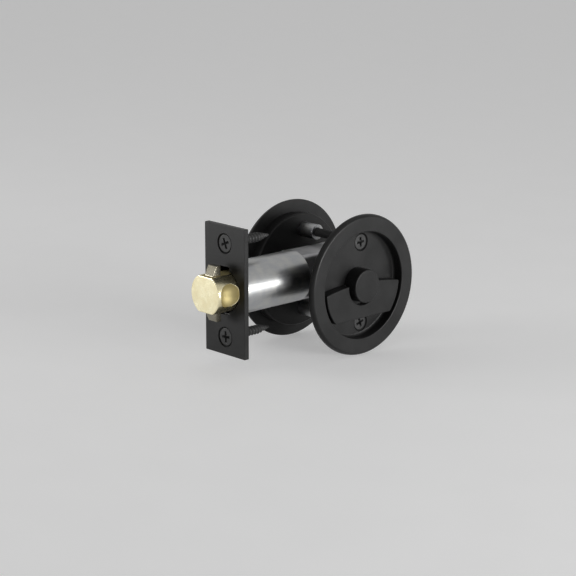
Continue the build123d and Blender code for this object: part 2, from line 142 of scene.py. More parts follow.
print("the operators that write nodes:", "+ - * /")

# %% [markdown]
# ## What every finish shares
#
# A finish starts from Object coordinates. Every piece sits at the origin with its place in its mesh, so
# these are the lock's own metres, and a pattern keeps its real scale on each piece. Noise gives the
# variation, a Mix node gives the colours between two tones, and a Bump node gives the grain that is too
# fine to model.

# %% The finish class
TO_MM = 1 / MM
NOISE_ROUGHNESS = 0.55
END_FADE, SIDE_FADE = 0.3, 0.2


class Finish(Tree):
    """One procedural material, with sizes in millimetres."""

    def __init__(self, name):
        self.material = bpy.data.materials.new(name)
        self.material.use_nodes = True
        super().__init__(self.material.node_tree)
        self.node_tree.nodes.clear()
        self.place = self.node("ShaderNodeTexCoord", out="Object")

    def noise(self, size, detail=2.0, stretch=(1.0, 1.0, 1.0)):
        """Noise with features of about that size, drawn out along an axis by a small stretch value."""
        vector = self.node("ShaderNodeMapping", {}, {"Vector": self.place, "Scale": stretch})
        sockets = {"Vector": vector, "Scale": TO_MM / size, "Detail": detail, "Roughness": NOISE_ROUGHNESS}
        return self.node("ShaderNodeTexNoise", {}, sockets)

    def within(self, radius, start, end):
        """One inside a round bar of space along the X axis, in millimetres, and nought outside it."""
        sockets = {0: self.place, 1: (0, TO_MM, TO_MM)}
        across = self.node("ShaderNodeVectorMath", {"operation": "MULTIPLY"}, sockets)
        away = self.node("ShaderNodeVectorMath", {"operation": "LENGTH"}, {0: across}, "Value")
        along = self.node("ShaderNodeSeparateXYZ", {}, {"Vector": self.place}, "X") * TO_MM
        begun = self.smooth_step(along, start, start + END_FADE)
        unfinished = self.smooth_step(along, end, end - END_FADE)
        return self.smooth_step(away, radius, radius - SIDE_FADE) * (begun * unfinished)

    def mix(self, factor, first, second):
        return self.node("ShaderNodeMix", {"data_type": "RGBA"}, {0: factor, 6: first, 7: second}, out=2)

    def bump(self, height, depth, under=None):
        """Grain of that depth in millimetres, on top of another bump or the bare surface."""
        sockets = {"Height": height, "Strength": 1.0, "Distance": depth * MM}
        if under is not None:
            sockets["Normal"] = under
        return self.node("ShaderNodeBump", {}, sockets)

    def close(self, colour, roughness, normal, **constants):
        """The shader that ends the tree. Constants are set on its own sockets."""
        sockets = {"Base Color": colour, "Roughness": roughness, "Normal": normal}
        sockets.update({name.replace("_", " "): value for name, value in constants.items()})
        shader = self.node("ShaderNodeBsdfPrincipled", {}, sockets)
        self.node("ShaderNodeOutputMaterial", {}, {"Surface": shader})
        return self.material


def grey(value):
    return (value, value, value, 1.0)


print("finishes read Object coordinates, in metres")

# %% [markdown]
# ## Satin black
#
# The cups, the turn and the faceplate are cast or stamped metal under a thin baked black coat. It isn't
# quite even: sprayed paint dries to a fine pebble, a little shinier where it lay thick. A flat black would
# hide every edge, so the coat stays a dark grey with a soft highlight, and two sizes of grain break it up.
# The screws have the same build in a lighter tone, as black oxide on bare steel has.

# %% Black finishes
CLOUD, PEBBLE, GRAIN = 9.0, 0.55, 0.16
PEBBLE_DEPTH, GRAIN_DEPTH = 0.010, 0.004
COAT_SPAN = (0.35, 0.65)
COAT_ROUGH = (0.33, 0.43)
COAT_SPECULAR = 0.20


def black_coat(name, dark, light):
    finish = Finish(name)
    cloud = finish.noise(CLOUD, 3.0)
    pebble = finish.noise(PEBBLE, 3.0)
    grain = finish.noise(GRAIN)
    tone = finish.smooth_step(cloud * 0.6 + grain * 0.4, *COAT_SPAN)
    roughness = finish.smooth_step(cloud * 0.5 + pebble * 0.5, *COAT_SPAN, *COAT_ROUGH)
    normal = finish.bump(grain, GRAIN_DEPTH, finish.bump(pebble, PEBBLE_DEPTH))
    colour = finish.mix(tone, grey(dark), grey(light))
    return finish.close(colour, roughness, normal, Specular_IOR_Level=COAT_SPECULAR)


satin_black = black_coat("satin_black_coat", 0.012, 0.017)
screw_black = black_coat("black_oxide", 0.034, 0.052)
print("black finishes:", satin_black.name, screw_black.name)

# %% [markdown]
# ## Bare and plated metals
#
# The bolt is machined brass, the dogs are plated steel, and the works behind them are zinc plated or cast.
# They differ in colour, in how tight their highlight is, and in the marks that their making left: fine
# lines along a drawn or brushed piece, a sandy skin on a casting. One function takes those as its values.
# The lines are noise drawn out along one axis, and the slow noise shifts the tone as handling and plating
# do. What a cutter took out of the bolt is duller than its turned outside, and its colour is painted darker
# as shade; the tube's bore is painted near black as shade. Both lie closer to the bolt's axis than the rest
# of their piece, so a distance from that axis marks them.

# %% One function for metals
METAL_CLOUD, METAL_GRAIN = 6.0, 0.12
TONE_SPAN, ROUGH_SPAN = (0.32, 0.68), (0.3, 0.7)


def bare_metal(name, tones, rough, line_size, stretch, line_depth, shaded_inside=None):
    finish = Finish(name)
    cloud = finish.noise(METAL_CLOUD, 4.0)
    lines = finish.noise(line_size, 3.0, stretch)
    fine = finish.noise(METAL_GRAIN)
    tone = finish.smooth_step(cloud * 0.7 + lines * 0.3, *TONE_SPAN)
    roughness = finish.smooth_step(lines * 0.6 + cloud * 0.4, *ROUGH_SPAN, *rough)
    normal = finish.bump(fine, line_depth / 3, finish.bump(lines, line_depth))
    colour = finish.mix(tone, (*tones[0], 1.0), (*tones[1], 1.0))
    # Inside the mask the colour is painted shade, darker than the rest of the piece, and the roughness
    # rises.
    if shaded_inside:
        place, painted_shade_tone, dull = shaded_inside
        mask = finish.within(*place)
        colour = finish.mix(mask, colour, (*painted_shade_tone, 1.0))
        roughness = roughness + mask * dull
    return finish.close(colour, roughness, normal, Metallic=1.0)


print("a metal is clouds of", METAL_CLOUD, "mm, lines, and grain of", METAL_GRAIN, "mm")

# %% The lock's metals
LINES_X, LINES_Z, NO_LINES = (0.03, 1.0, 1.0), (1.0, 1.0, 0.03), (1.0, 1.0, 1.0)
# The first place marks the bolt's scoops, painted darker brass as shade; the second marks the tube's bore,
# painted near black as shade.
SCOOPED, SHADED_BORE = (8.9, -13.4, 40.0), (10.9, -1.5, 38.0)
METALS = {
    # The scoops' darker brass tone is painted shade; their higher roughness is the cutter's duller finish.
    "brass": dict(
        name="machined_brass", tones=((0.81, 0.72, 0.45), (0.88, 0.82, 0.57)), rough=(0.22, 0.29),
        line_size=0.35, stretch=LINES_X, line_depth=0.0004, shaded_inside=(SCOOPED, (0.48, 0.41, 0.205), 0.36),
    ),
    "dog_steel": dict(
        name="plated_dog_steel", tones=((0.20, 0.185, 0.14), (0.29, 0.27, 0.215)), rough=(0.22, 0.28),
        line_size=0.30, stretch=LINES_Z, line_depth=0.001,
    ),
    # The bore's near-black tone is painted shade over the plated steel.
    "zinc_plate": dict(
        name="zinc_plated_steel", tones=((0.42, 0.43, 0.45), (0.54, 0.54, 0.52)), rough=(0.28, 0.36),
        line_size=0.30, stretch=LINES_X, line_depth=0.0008, shaded_inside=(SHADED_BORE, (0.05, 0.05, 0.05), 0.1),
    ),
    "cast_zinc": dict(
        name="cast_zinc", tones=((0.40, 0.40, 0.41), (0.52, 0.52, 0.53)), rough=(0.42, 0.56),
        line_size=0.45, stretch=NO_LINES, line_depth=0.012,
    ),
    "bush_brass": dict(
        name="turned_bush_brass", tones=((0.55, 0.40, 0.17), (0.70, 0.53, 0.26)), rough=(0.28, 0.40),
        line_size=0.25, stretch=NO_LINES, line_depth=0.003,
    ),
    "plain_steel": dict(
        name="drawn_plain_steel", tones=((0.40, 0.40, 0.41), (0.54, 0.54, 0.54)), rough=(0.30, 0.42),
        line_size=0.25, stretch=NO_LINES, line_depth=0.003,
    ),
    "spring_steel": dict(
        name="oiled_spring_steel", tones=((0.09, 0.09, 0.10), (0.16, 0.155, 0.15)), rough=(0.24, 0.36),
        line_size=0.25, stretch=NO_LINES, line_depth=0.002,
    ),
}
FINISHES = {"black": satin_black, "black_screw": screw_black}
FINISHES.update({slot: bare_metal(**values) for slot, values in METALS.items()})
SLOT_OF = {part["node"]: part["material_slot"] for part in frame["record"]["subparts"]}
for name, node in frame["nodes"].items():
    node.data.materials.clear()
    node.data.materials.append(FINISHES[SLOT_OF[name]])
print("finishes:", len(FINISHES), "on", len(SLOT_OF), "nodes")

# %% [markdown]
# ## Places
#
# Everything is drawn in millimetres in the frame of its own piece, and set down in the lock's metres at the
# end. The frame's record already says where the turn's axis is and where the two rims seat, so those places
# are read from it. A cup's own frame has its origin at the back of the rim and its z out of the recess. The
# bolt's frame has its z along the bolt, its x along the lock's Y and its y upwards.

# %% Frames in millimetres
def frame_at(origin, x_dir, z_dir):
    """The matrix from a piece's own millimetres to the lock's metres."""
    x, z = Vector(x_dir), Vector(z_dir)
    turn = Matrix((x, z.cross(x), z)).transposed().to_4x4()
    return Matrix.Scale(MM, 4) @ Matrix.Translation(Vector(origin)) @ turn


MOUNTS = {m["name"]: Vector(m["pos_m"]) / MM for m in frame["record"]["mounts"]}
INSIDE = frame_at(MOUNTS["inside_rim_seat"], (1, 0, 0), (0, -1, 0))
OUTSIDE = frame_at(MOUNTS["outside_rim_seat"], (-1, 0, 0), (0, 1, 0))
ALONG_BOLT = frame_at((0, 0, 0), (0, 1, 0), (1, 0, 0))
FACE_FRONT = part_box("faceplate")[0][0] / MM
grip = (MOUNTS["outside_rim_seat"] - MOUNTS["inside_rim_seat"]).length
print("grip:", round(grip, 3), "mm, faceplate front at X =", round(FACE_FRONT, 3), "mm")

# %% [markdown]
# ## From a drawing to a piece
#
# A piece goes through the same few steps: its mesh is drawn, cut by other meshes, softened along its sharp
# edges and set down. Booleans cut well on closed meshes, and a Bevel modifier after them rounds what they
# left. Weighted normals then keep the flat faces flat beside their small rounds.

# %% Cutting and joining
TOUCH, SLIVER = 1e-4, 1e-5


def as_object(mesh):
    obj = bpy.data.objects.new(mesh.name, mesh)
    bpy.context.scene.collection.objects.link(obj)
    return obj


def settle(obj):
    """Swaps an object's mesh for what its modifiers make of it, and takes them off."""
    depsgraph = bpy.context.evaluated_depsgraph_get()
    made = bpy.data.meshes.new_from_object(obj.evaluated_get(depsgraph), depsgraph=depsgraph)
    made.name = obj.name
    obj.modifiers.clear()
    obj.data = made
    return made


def facing_out(mesh):
    """Merges doubles and turns every face outwards."""
    bm = bmesh.new()
    bm.from_mesh(mesh)
    bmesh.ops.remove_doubles(bm, verts=bm.verts, dist=TOUCH)
    bmesh.ops.dissolve_degenerate(bm, edges=bm.edges, dist=SLIVER)
    bmesh.ops.recalc_face_normals(bm, faces=bm.faces)
    bm.to_mesh(mesh)
    bm.free()
    return mesh


def combine(mesh, operation, *others):
    """Cuts the others out of a mesh (DIFFERENCE) or joins them to it (UNION)."""
    obj = as_object(mesh)
    tools = [as_object(other) for other in others]
    for tool in tools:
        step = obj.modifiers.new("combine", "BOOLEAN")
        step.operation = operation
        step.solver = "EXACT"
        step.object = tool
    made = settle(obj)
    for used in [obj, *tools]:
        bpy.data.objects.remove(used)
    return facing_out(made)


print("points closer than", TOUCH, "mm are merged")

# %% Softening and setting down
SHARP = math.radians(35)


def soften(mesh, width, steps=2, angle=SHARP):
    """Rounds a mesh's sharp edges."""
    obj = as_object(mesh)
    step = obj.modifiers.new("soften", "BEVEL")
    step.width = width
    step.segments = steps
    step.limit_method = "ANGLE"
    step.angle_limit = angle
    step.use_clamp_overlap = False
    made = settle(obj)
    bpy.data.objects.remove(obj)
    return made


def set_down(name, mesh, place, body, *replaced):
    """Puts a finished mesh where the lock has it, in the finish of the nodes that it stands for."""
    mesh.transform(place)
    mesh.name = name
    slot = SLOT_OF[replaced[0]]
    mesh.materials.clear()
    mesh.materials.append(FINISHES[slot])
    mesh.polygons.foreach_set("material_index", [0] * len(mesh.polygons))
    mesh.polygons.foreach_set("use_smooth", [True] * len(mesh.polygons))
    mesh.set_sharp_from_angle(angle=SHARP)
    obj = as_object(mesh)
    obj.name = name
    step = obj.modifiers.new("flat faces", "WEIGHTED_NORMAL")
    step.keep_sharp = True
    settle(obj)
    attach(obj, body)
    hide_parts(*replaced)
    print(name, "rides on", body, "with", len(obj.data.polygons), "faces")
    return obj


print("edges of more than", round(math.degrees(SHARP)), "degrees stay sharp")

# %% [markdown]
# ## Drawing outlines and plates
#
# Most edges of the lock are straight lines with small round corners, so an outline is a list of corners,
# each with its own round. A plate is an outline pulled up between two heights, with the edges of its two
# faces rounded as stamping and tumbling leave them. Drawn this way, a plate keeps its real sizes as numbers
# that can be read and changed.

# %% Outlines
def rounded(corners, steps=5):
    """A closed line through corners (x, y) or (x, y, round)."""
    line = []
    for index, (x, y, *rest) in enumerate(corners):
        here = Vector((x, y))
        radius = rest[0] if rest else 0.0
        if radius == 0.0:
            line.append(here)
            continue
        before = (Vector(corners[index - 1][:2]) - here).normalized()
        after = (Vector(corners[(index + 1) % len(corners)][:2]) - here).normalized()
        half = before.angle(after) / 2
        centre = here + (before + after).normalized() * radius / math.sin(half)
        first = here + before * radius / math.tan(half) - centre
        sweep = first.angle_signed(here + after * radius / math.tan(half) - centre)
        for step in range(steps + 1):
            turn = Matrix.Rotation(-sweep * step / steps, 2)
            line.append(centre + turn @ first)
    return line


def arc(centre, radius, start, end, steps):
    """Points on an arc between two angles in degrees, both ends included."""
    points = []
    for step in range(steps + 1):
        angle = math.radians(start + (end - start) * step / steps)
        points.append((centre[0] + radius * math.cos(angle), centre[1] + radius * math.sin(angle)))
    return points


sample = rounded([(0, 0, 1), (10, 0, 1), (10, 5, 1), (0, 5, 1)])
print("a rounded rectangle has", len(sample), "points")

# %% Plates
LEVEL = 1e-6


def plate(name, line, low, high, edge=0.0, steps=3):
    """An outline pulled up from low to high, with the edges of both faces rounded."""
    bm = bmesh.new()
    face = bm.faces.new([bm.verts.new((x, y, low)) for x, y in line])
    lifted = bmesh.ops.extrude_face_region(bm, geom=[face], use_keep_orig=True)
    top = [v for v in lifted["geom"] if isinstance(v, bmesh.types.BMVert)]
    bmesh.ops.translate(bm, verts=top, vec=(0, 0, high - low))
    bmesh.ops.recalc_face_normals(bm, faces=bm.faces)
    if edge:
        rims = [e for e in bm.edges if abs(e.verts[0].co.z - e.verts[1].co.z) < LEVEL]
        bmesh.ops.bevel(
            bm, geom=rims, offset=edge, offset_type="OFFSET", segments=steps, profile=0.5,
            affect="EDGES", clamp_overlap=True,
        )
    mesh = bpy.data.meshes.new(name)
    bm.to_mesh(mesh)
    bm.free()
    return facing_out(mesh)


def box(name, low, high):
    corners = [(low[0], low[1]), (high[0], low[1]), (high[0], high[1]), (low[0], high[1])]
    return plate(name, corners, low[2], high[2])


trial = plate("trial plate", sample, 0, 2, 0.3)
print("a plate from it has", len(trial.polygons), "faces")
bpy.data.meshes.remove(trial)

# %% [markdown]
# ## A lathe in Geometry Nodes
#
# The cups, the buttons and the screws are all turned: one profile goes round an axis. A Screw modifier could
# turn a plain profile, but it can't cut a thread, so the rule is a tree of its own. A grid has one column
# for each point of the profile and one row for each step of the turn, every grid point looks up its profile
# point by index, and a rotation carries it round. The thread comes from drawing the radius in along a
# helix. The object's own mesh is the profile, as radius and height.

# %% Starting and ending a tree
def new_tree(name, inputs):
    """An empty Geometry Nodes tree with a geometry in and out and the named inputs."""
    group = bpy.data.node_groups.new(name, "GeometryNodeTree")
    group.interface.new_socket("Geometry", in_out="OUTPUT", socket_type="NodeSocketGeometry")
    group.interface.new_socket("Geometry", in_out="INPUT", socket_type="NodeSocketGeometry")
    for label, kind in inputs.items():
        group.interface.new_socket(label, in_out="INPUT", socket_type="NodeSocket" + kind)
    tree = Tree(group)
    tree.node("NodeGroupInput")
    source = group.nodes[-1]
    tree.given = {socket.name: Wire(tree, socket) for socket in source.outputs if socket.name}
    return tree


def end_tree(tree, geometry):
    """Makes instances real and sets the finish, which is how each tree ends."""
    real = tree.node("GeometryNodeRealizeInstances", {}, {"Geometry": geometry})
    sockets = {"Geometry": real, "Material": tree.given["Finish"]}
    dressed = tree.node("GeometryNodeSetMaterial", {}, sockets)
    tree.node("NodeGroupOutput", {}, {"Geometry": dressed})
    return tree.node_tree


def set_inputs(modifier, values):
    """Sets a modifier's inputs by their sockets' identifiers."""
    for item in modifier.node_group.interface.items_tree:
        if item.in_out == "INPUT" and item.name in values:
            modifier[item.identifier] = values[item.name]


print("a tree ends in Realize Instances and Set Material")

# %% The lathe tree
THREAD_FLANK = (0.15, 0.95)


def lathe_tree():
    inputs = {
        "Segments": "Int", "Thread low": "Float", "Thread high": "Float", "Pitch": "Float",
        "Root share": "Float", "Finish": "Material",
    }
    tree = new_tree("turned on a lathe", inputs)
    given, pitch = tree.given, tree.given["Pitch"]
    domain = {"Geometry": given["Geometry"]}
    count = tree.node("GeometryNodeAttributeDomainSize", {}, domain, "Point Count")
    sizes = {"Size X": 1.0, "Size Y": 1.0, "Vertices X": count + 1, "Vertices Y": given["Segments"] + 1}
    grid = tree.node("GeometryNodeMeshGrid", {}, sizes)
    place = tree.node("GeometryNodeInputPosition")
    columns = (tree.node("ShaderNodeSeparateXYZ", {}, {"Vector": place}, "X") + 0.5) * count
    column = columns.math("ROUND", columns)
    index = column.math("MODULO", column, count)
    share = tree.node("ShaderNodeSeparateXYZ", {}, {"Vector": place}, "Y") + 0.5
    kinds = {"data_type": "FLOAT_VECTOR", "domain": "POINT"}
    point = tree.node("GeometryNodeSampleIndex", kinds, {0: given["Geometry"], 1: place, 2: index})
    radius = tree.node("ShaderNodeSeparateXYZ", {}, {"Vector": point}, "X")
    height = tree.node("ShaderNodeSeparateXYZ", {}, {"Vector": point}, "Z")
    turns = height / pitch - share
    swing = turns.math("FRACT", turns) * 2 - 1
    ridge = 1 - swing.math("ABSOLUTE", swing)
    valley = 1 - tree.smooth_step(ridge, *THREAD_FLANK)
    run_in = tree.smooth_step(height, given["Thread low"], given["Thread low"] + pitch)
    run_out = 1 - tree.smooth_step(height, given["Thread high"] - pitch, given["Thread high"])
    cut = radius * (1 - given["Root share"] * valley * run_in * run_out)
    drawn = tree.node("ShaderNodeCombineXYZ", {}, {"X": cut, "Y": 0.0, "Z": height})
    spin = {"Vector": drawn, "Angle": share * math.tau}
    carried = tree.node("ShaderNodeVectorRotate", {"rotation_type": "Z_AXIS"}, spin)
    ring = tree.node("GeometryNodeSetPosition", {}, {"Geometry": grid, "Position": carried})
    closed = tree.node("GeometryNodeMergeByDistance", {}, {"Geometry": ring, "Distance": TOUCH})
    return end_tree(tree, closed)


LATHE = lathe_tree()
print("the lathe tree has", len(LATHE.nodes), "nodes")

# %% Turning a profile
THREAD_NONE = {"Thread low": 0.0, "Thread high": 0.0, "Pitch": 1.0, "Root share": 0.0}
TURN_STEPS = 96


def turned(name, line, segments=TURN_STEPS, thread=THREAD_NONE, finish=satin_black):
    """A closed profile of radius and height, turned about z in millimetres."""
    mesh = bpy.data.meshes.new(name)
    edges = [(i, (i + 1) % len(line)) for i in range(len(line))]
    mesh.from_pydata([(radius, 0, height) for radius, height in line], edges, [])
    obj = as_object(mesh)
    step = obj.modifiers.new("lathe", "NODES")
    step.node_group = LATHE
    set_inputs(step, {"Segments": segments, "Finish": finish, **thread})
    made = settle(obj)
    bpy.data.objects.remove(obj)
    return facing_out(made)


trial = turned("trial ring", rounded([(3, 0, 0.2), (4, 0, 0.2), (4, 1, 0.2), (3, 1, 0.2)]))
print("a trial ring has", len(trial.polygons), "faces")
bpy.data.meshes.remove(trial)

# %% [markdown]
# ## The two cups
#
# A cup is one casting: a flat rim that lies on the face, a deep round recess for the fingers, and a boss
# behind its floor that carries the shaft. Its outer edge is a quarter of an ellipse, taller than wide, which
# gives the rim its broad highlight. The recess's floor meets its wall in a generous round, where a casting
# would crack if it were sharp. The lathe turns the profile, because all of it is round, and then the near
# cup is drilled and countersunk for its two screws.

# %% Cup profile
RIM_R = (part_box("inside_cup")[1][0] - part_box("inside_cup")[0][0]) / MM / 2
RIM_T = 2.47
EDGE_W, EDGE_H, EDGE_STEPS = 1.45, 2.2, 12
RECESS_R, RECESS_DEPTH = 24.1, 5.1
FLOOR = RIM_T - RECESS_DEPTH
DISH_R, DISH_WALL = 26.0, 2.4
DISH_BACK = FLOOR - DISH_WALL
BOSS_R, BOSS_L = 8.0, 2.6
BOSS_BACK = DISH_BACK - BOSS_L
SHAFT_R, RUN = 4.6, 0.05
BORE_R = SHAFT_R + RUN
FLOOR_ROUND, MOUTH_ROUND, DISH_ROUND, BOSS_ROUND, BROKEN = 1.3, 0.45, 0.6, 0.3, 0.1


def cup_line():
    """The cup's profile, anticlockwise from the bore's front."""
    edge = []
    for step in range(EDGE_STEPS + 1):
        angle = math.radians(90 * (1 - step / EDGE_STEPS))
        x, y = EDGE_W * math.cos(angle), EDGE_H * math.sin(angle)
        edge.append((RIM_R - EDGE_W + x, RIM_T - EDGE_H + y))
    front = [(BORE_R, FLOOR, BROKEN), (RECESS_R, FLOOR, FLOOR_ROUND), (RECESS_R, RIM_T, MOUTH_ROUND)]
    back = [
        (RIM_R, 0, BROKEN), (DISH_R, 0), (DISH_R, DISH_BACK, DISH_ROUND), (BOSS_R, DISH_BACK),
        (BOSS_R, BOSS_BACK, BOSS_ROUND), (BORE_R, BOSS_BACK, BROKEN),
    ]
    return rounded(front + edge + back)


print("the cup's profile has", len(cup_line()), "points")

# %% Cups, drilled and set down
CUP_SCREWS = [(3.0, 18.4), (3.0, -18.4)]
CUP_CSK_R, CUP_HOLE_R = 4.05, 2.3
LIP, CSK_MOUTH = 0.12, 0.50
ABOVE, DRILL_DEPTH = 0.5, 4.0
DRILL_STEPS, CUP_STEPS = 64, 160


def countersink(top_r, hole_r):
    """What a countersink takes away below z = 0: a broken edge, a short straight mouth and the cone."""
    cone = top_r - hole_r
    line = [
        (0, ABOVE), (top_r + LIP + ABOVE, ABOVE), (top_r + LIP, 0.0), (top_r, -LIP), (top_r, -CSK_MOUTH),
        (hole_r, -CSK_MOUTH - cone), (hole_r, -DRILL_DEPTH), (0, -DRILL_DEPTH),
    ]
    return turned("drill", line, DRILL_STEPS)


def moved(mesh, x, y, z):
    mesh.transform(Matrix.Translation((x, y, z)))
    return mesh


drills = [moved(countersink(CUP_CSK_R, CUP_HOLE_R), x, y, FLOOR) for x, y in CUP_SCREWS]
near_cup = combine(turned("near cup", cup_line(), CUP_STEPS), "DIFFERENCE", *drills)
set_down("inside_cup_turned", near_cup, INSIDE, "lock_body", "inside_cup")
far_cup = turned("far cup", cup_line(), CUP_STEPS)
set_down("outside_cup_turned", far_cup, OUTSIDE, "lock_body", "outside_cup")

# %% [markdown]
# ## The turn and the release
#
# The turn is a half-round leaf with a round button, whose shaft runs in the cup's boss. Fingers pull on the
# leaf's lower edge, so all its edges are rounded over. The leaf is a plate with a round notch about the
# button, joined to the turned button and shaft, so each half is made the way that suits it. The release on
# the far side has the same shaft and a lower button, with a slot for a coin.

# %% Button and shaft
LEAF_BACK = FLOOR + 0.3
BUTTON_R, BUTTON_ROUND, BUTTON_BACK_ROUND = 7.5, 0.5, 0.15
SHAFT_END, SHAFT_ROUND = BOSS_BACK - 2.6, 0.25
GROOVE_R, GROOVE_W = SHAFT_R - 0.55, 0.8
GROOVE_TOP = BOSS_BACK - 0.55
SOCKET_HALF, SOCKET_DEPTH = 2.52, 5
OVERLAP, PAST = 0.02, 1


def button(name, top):
    """A button on its shaft, with the groove of the clip and the square socket of the spindle."""
    back = LEAF_BACK - OVERLAP
    line = rounded(
        [
            (0, SHAFT_END), (SHAFT_R, SHAFT_END, SHAFT_ROUND), (SHAFT_R, GROOVE_TOP - GROOVE_W),
            (GROOVE_R, GROOVE_TOP - GROOVE_W), (GROOVE_R, GROOVE_TOP), (SHAFT_R, GROOVE_TOP),
            (SHAFT_R, back), (BUTTON_R, back, BUTTON_BACK_ROUND), (BUTTON_R, top, BUTTON_ROUND), (0, top),
        ]
    )
    low = (-SOCKET_HALF, -SOCKET_HALF, SHAFT_END - PAST)
    high = (SOCKET_HALF, SOCKET_HALF, SHAFT_END + SOCKET_DEPTH)
    return combine(turned(name, line), "DIFFERENCE", box("socket", low, high))


print("the shaft is", round(LEAF_BACK - SHAFT_END, 2), "mm long behind the button")

# %% Leaf outline
LEAF_R, LEAF_LOW = 22.7, 14.9
LEAF_TOP, LEAF_SHOULDER, LEAF_CORNER = 1.1, 1.2, 0.8
ARCH_STEPS, END_STEPS = 24, 10


def leaf_line():
    """Arched upper edge, ends on a circle, straight lower edge."""
    reach = math.sqrt(LEAF_R**2 - LEAF_SHOULDER**2)
    low_reach = math.sqrt(LEAF_R**2 - LEAF_LOW**2)
    rise = LEAF_TOP + LEAF_SHOULDER
    arch_r = (reach**2 + rise**2) / (2 * rise)
    arch = math.degrees(math.asin(reach / arch_r))
    upper = math.degrees(math.asin(LEAF_SHOULDER / LEAF_R))
    lower = math.degrees(math.asin(LEAF_LOW / LEAF_R))
    top = arc((0, LEAF_TOP - arch_r), arch_r, 90 + arch, 90 - arch, ARCH_STEPS)[1:-1]
    right = arc((0, 0), LEAF_R, -upper, -lower, END_STEPS)[1:-1]
    left = arc((0, 0), LEAF_R, 180 + lower, 180 + upper, END_STEPS)[1:-1]
    return rounded(
        [
            (-reach, -LEAF_SHOULDER, LEAF_CORNER), *top, (reach, -LEAF_SHOULDER, LEAF_CORNER), *right,
            (low_reach, -LEAF_LOW, LEAF_CORNER), (-low_reach, -LEAF_LOW, LEAF_CORNER), *left,
        ]
    )


print("the leaf's outline has", len(leaf_line()), "points")

# %% Leaf and button
LEAF_FRONT = RIM_T - 0.35
LEAF_ROUND, LEAF_ROUND_STEPS = 0.45, 5
NOTCH_R, NOTCH_BACK = 9.0, LEAF_BACK + 1.0
BUTTON_TOP = RIM_T + 2.1
notch_line = [
    (0, NOTCH_BACK), (NOTCH_R, NOTCH_BACK), (NOTCH_R, LEAF_FRONT - LIP), (NOTCH_R + LIP, LEAF_FRONT),
    (NOTCH_R + PAST, RIM_T + PAST), (0, RIM_T + PAST),
]
leaf = plate("leaf", leaf_line(), LEAF_BACK, LEAF_FRONT, LEAF_ROUND, LEAF_ROUND_STEPS)
leaf = combine(leaf, "DIFFERENCE", turned("notch", notch_line))
turn_mesh = combine(button("turn", BUTTON_TOP), "UNION", leaf)
set_down("turn_leaf_and_button", turn_mesh, INSIDE, "turn", "turn_piece")

# %% Release
RELEASE_TOP = RIM_T - 0.5
COIN_HALF, COIN_FLOOR, COIN_MOUTH = 0.9, RELEASE_TOP - 2.0, RELEASE_TOP + 0.1
coin_line = [
    (-COIN_HALF - LIP, COIN_MOUTH), (-COIN_HALF, RELEASE_TOP - LIP), (-COIN_HALF, COIN_FLOOR),
    (COIN_HALF, COIN_FLOOR), (COIN_HALF, RELEASE_TOP - LIP), (COIN_HALF + LIP, COIN_MOUTH),
]
QUARTER = math.radians(90)
coin_slot = plate("coin slot", coin_line, -BUTTON_R - PAST, BUTTON_R + PAST)
coin_slot.transform(Matrix.Rotation(QUARTER, 4, "Z") @ Matrix.Rotation(QUARTER, 4, "X"))
release_mesh = combine(button("release", RELEASE_TOP), "DIFFERENCE", coin_slot)
set_down("release_with_coin_slot", release_mesh, OUTSIDE, "turn", "release")

# %% [markdown]
# ## The faceplate
#
# The faceplate is stamped from thick strip: square corners, edges just broken, two countersunk holes and
# one large hole for the bolt. Notches above and below that hole let the dogs through while they are still
# part out. It is a plate cut by a drill for each screw, by the bolt's outline and by the seat of the tube
# behind, in the order in which a press and a drill would do it.

# %% Bolt hole outline
BOLT_HOLE_R, HOLE_STEPS = 9.4, 40
NOTCH_HALF_W, NOTCH_HALF_H, NOTCH_CORNER = 2.95, 10.742, 0.4


def bolt_hole_line():
    meet = math.degrees(math.acos(NOTCH_HALF_W / BOLT_HOLE_R))
    right = arc((0, 0), BOLT_HOLE_R, -meet, meet, HOLE_STEPS)
    left = arc((0, 0), BOLT_HOLE_R, 180 - meet, 180 + meet, HOLE_STEPS)
    upper = [(side * NOTCH_HALF_W, NOTCH_HALF_H, NOTCH_CORNER) for side in (1, -1)]
    lower = [(side * NOTCH_HALF_W, -NOTCH_HALF_H, NOTCH_CORNER) for side in (-1, 1)]
    return rounded(right + upper + left + lower)


print("the bolt's hole has", len(bolt_hole_line()), "points")

# %% Faceplate
FACE_HALF_W, FACE_HALF_H = 12.7, 28.575
FACE_CORNER, FACE_EDGE = 0.3, 0.15
FACE_SCREW_Z = 20.7
FACE_CSK_R, FACE_HOLE_R = 4.45, 2.25
SEAT_R = 11.52


def face_frame(z):
    """A frame on the faceplate's front, at a height, with z out of it."""
    return frame_at((FACE_FRONT, 0, z), (0, -1, 0), (-1, 0, 0))


face_line = rounded(
    [(x * FACE_HALF_W, y * FACE_HALF_H, FACE_CORNER) for x, y in ((-1, -1), (1, -1), (1, 1), (-1, 1))]
)
face = plate("faceplate", face_line, FACE_FRONT, 0, FACE_EDGE)
face_cuts = [
    plate("bolt hole", bolt_hole_line(), FACE_FRONT - PAST, PAST),
    turned("tube seat", [(0, -PAST), (SEAT_R, -PAST), (SEAT_R, PAST), (0, PAST)]),
]
for z in (FACE_SCREW_Z, -FACE_SCREW_Z):
    drill = countersink(FACE_CSK_R, FACE_HOLE_R)
    drill.transform(ALONG_BOLT.inverted() @ face_frame(z))
    face_cuts.append(drill)
face = combine(face, "DIFFERENCE", *face_cuts)
set_down("faceplate_stamped", face, ALONG_BOLT, "lock_body", "faceplate")

# %% [markdown]
# ## The bolt and its dogs
#
# The bolt is a length of round brass bar with a flat milled above and below, a rounded nose, and a round
# scoop in each side, left by a ball-ended cutter. A slot right through it holds the two dogs, which slide
# out of the flats and hook behind the strike. Two slots in its rear take the bars that drive it. Each cut
# is the shape of the cutter that would make it, and the Boolean leaves the same edges as milling does. The
# dogs are small steel blocks with a sloping front.

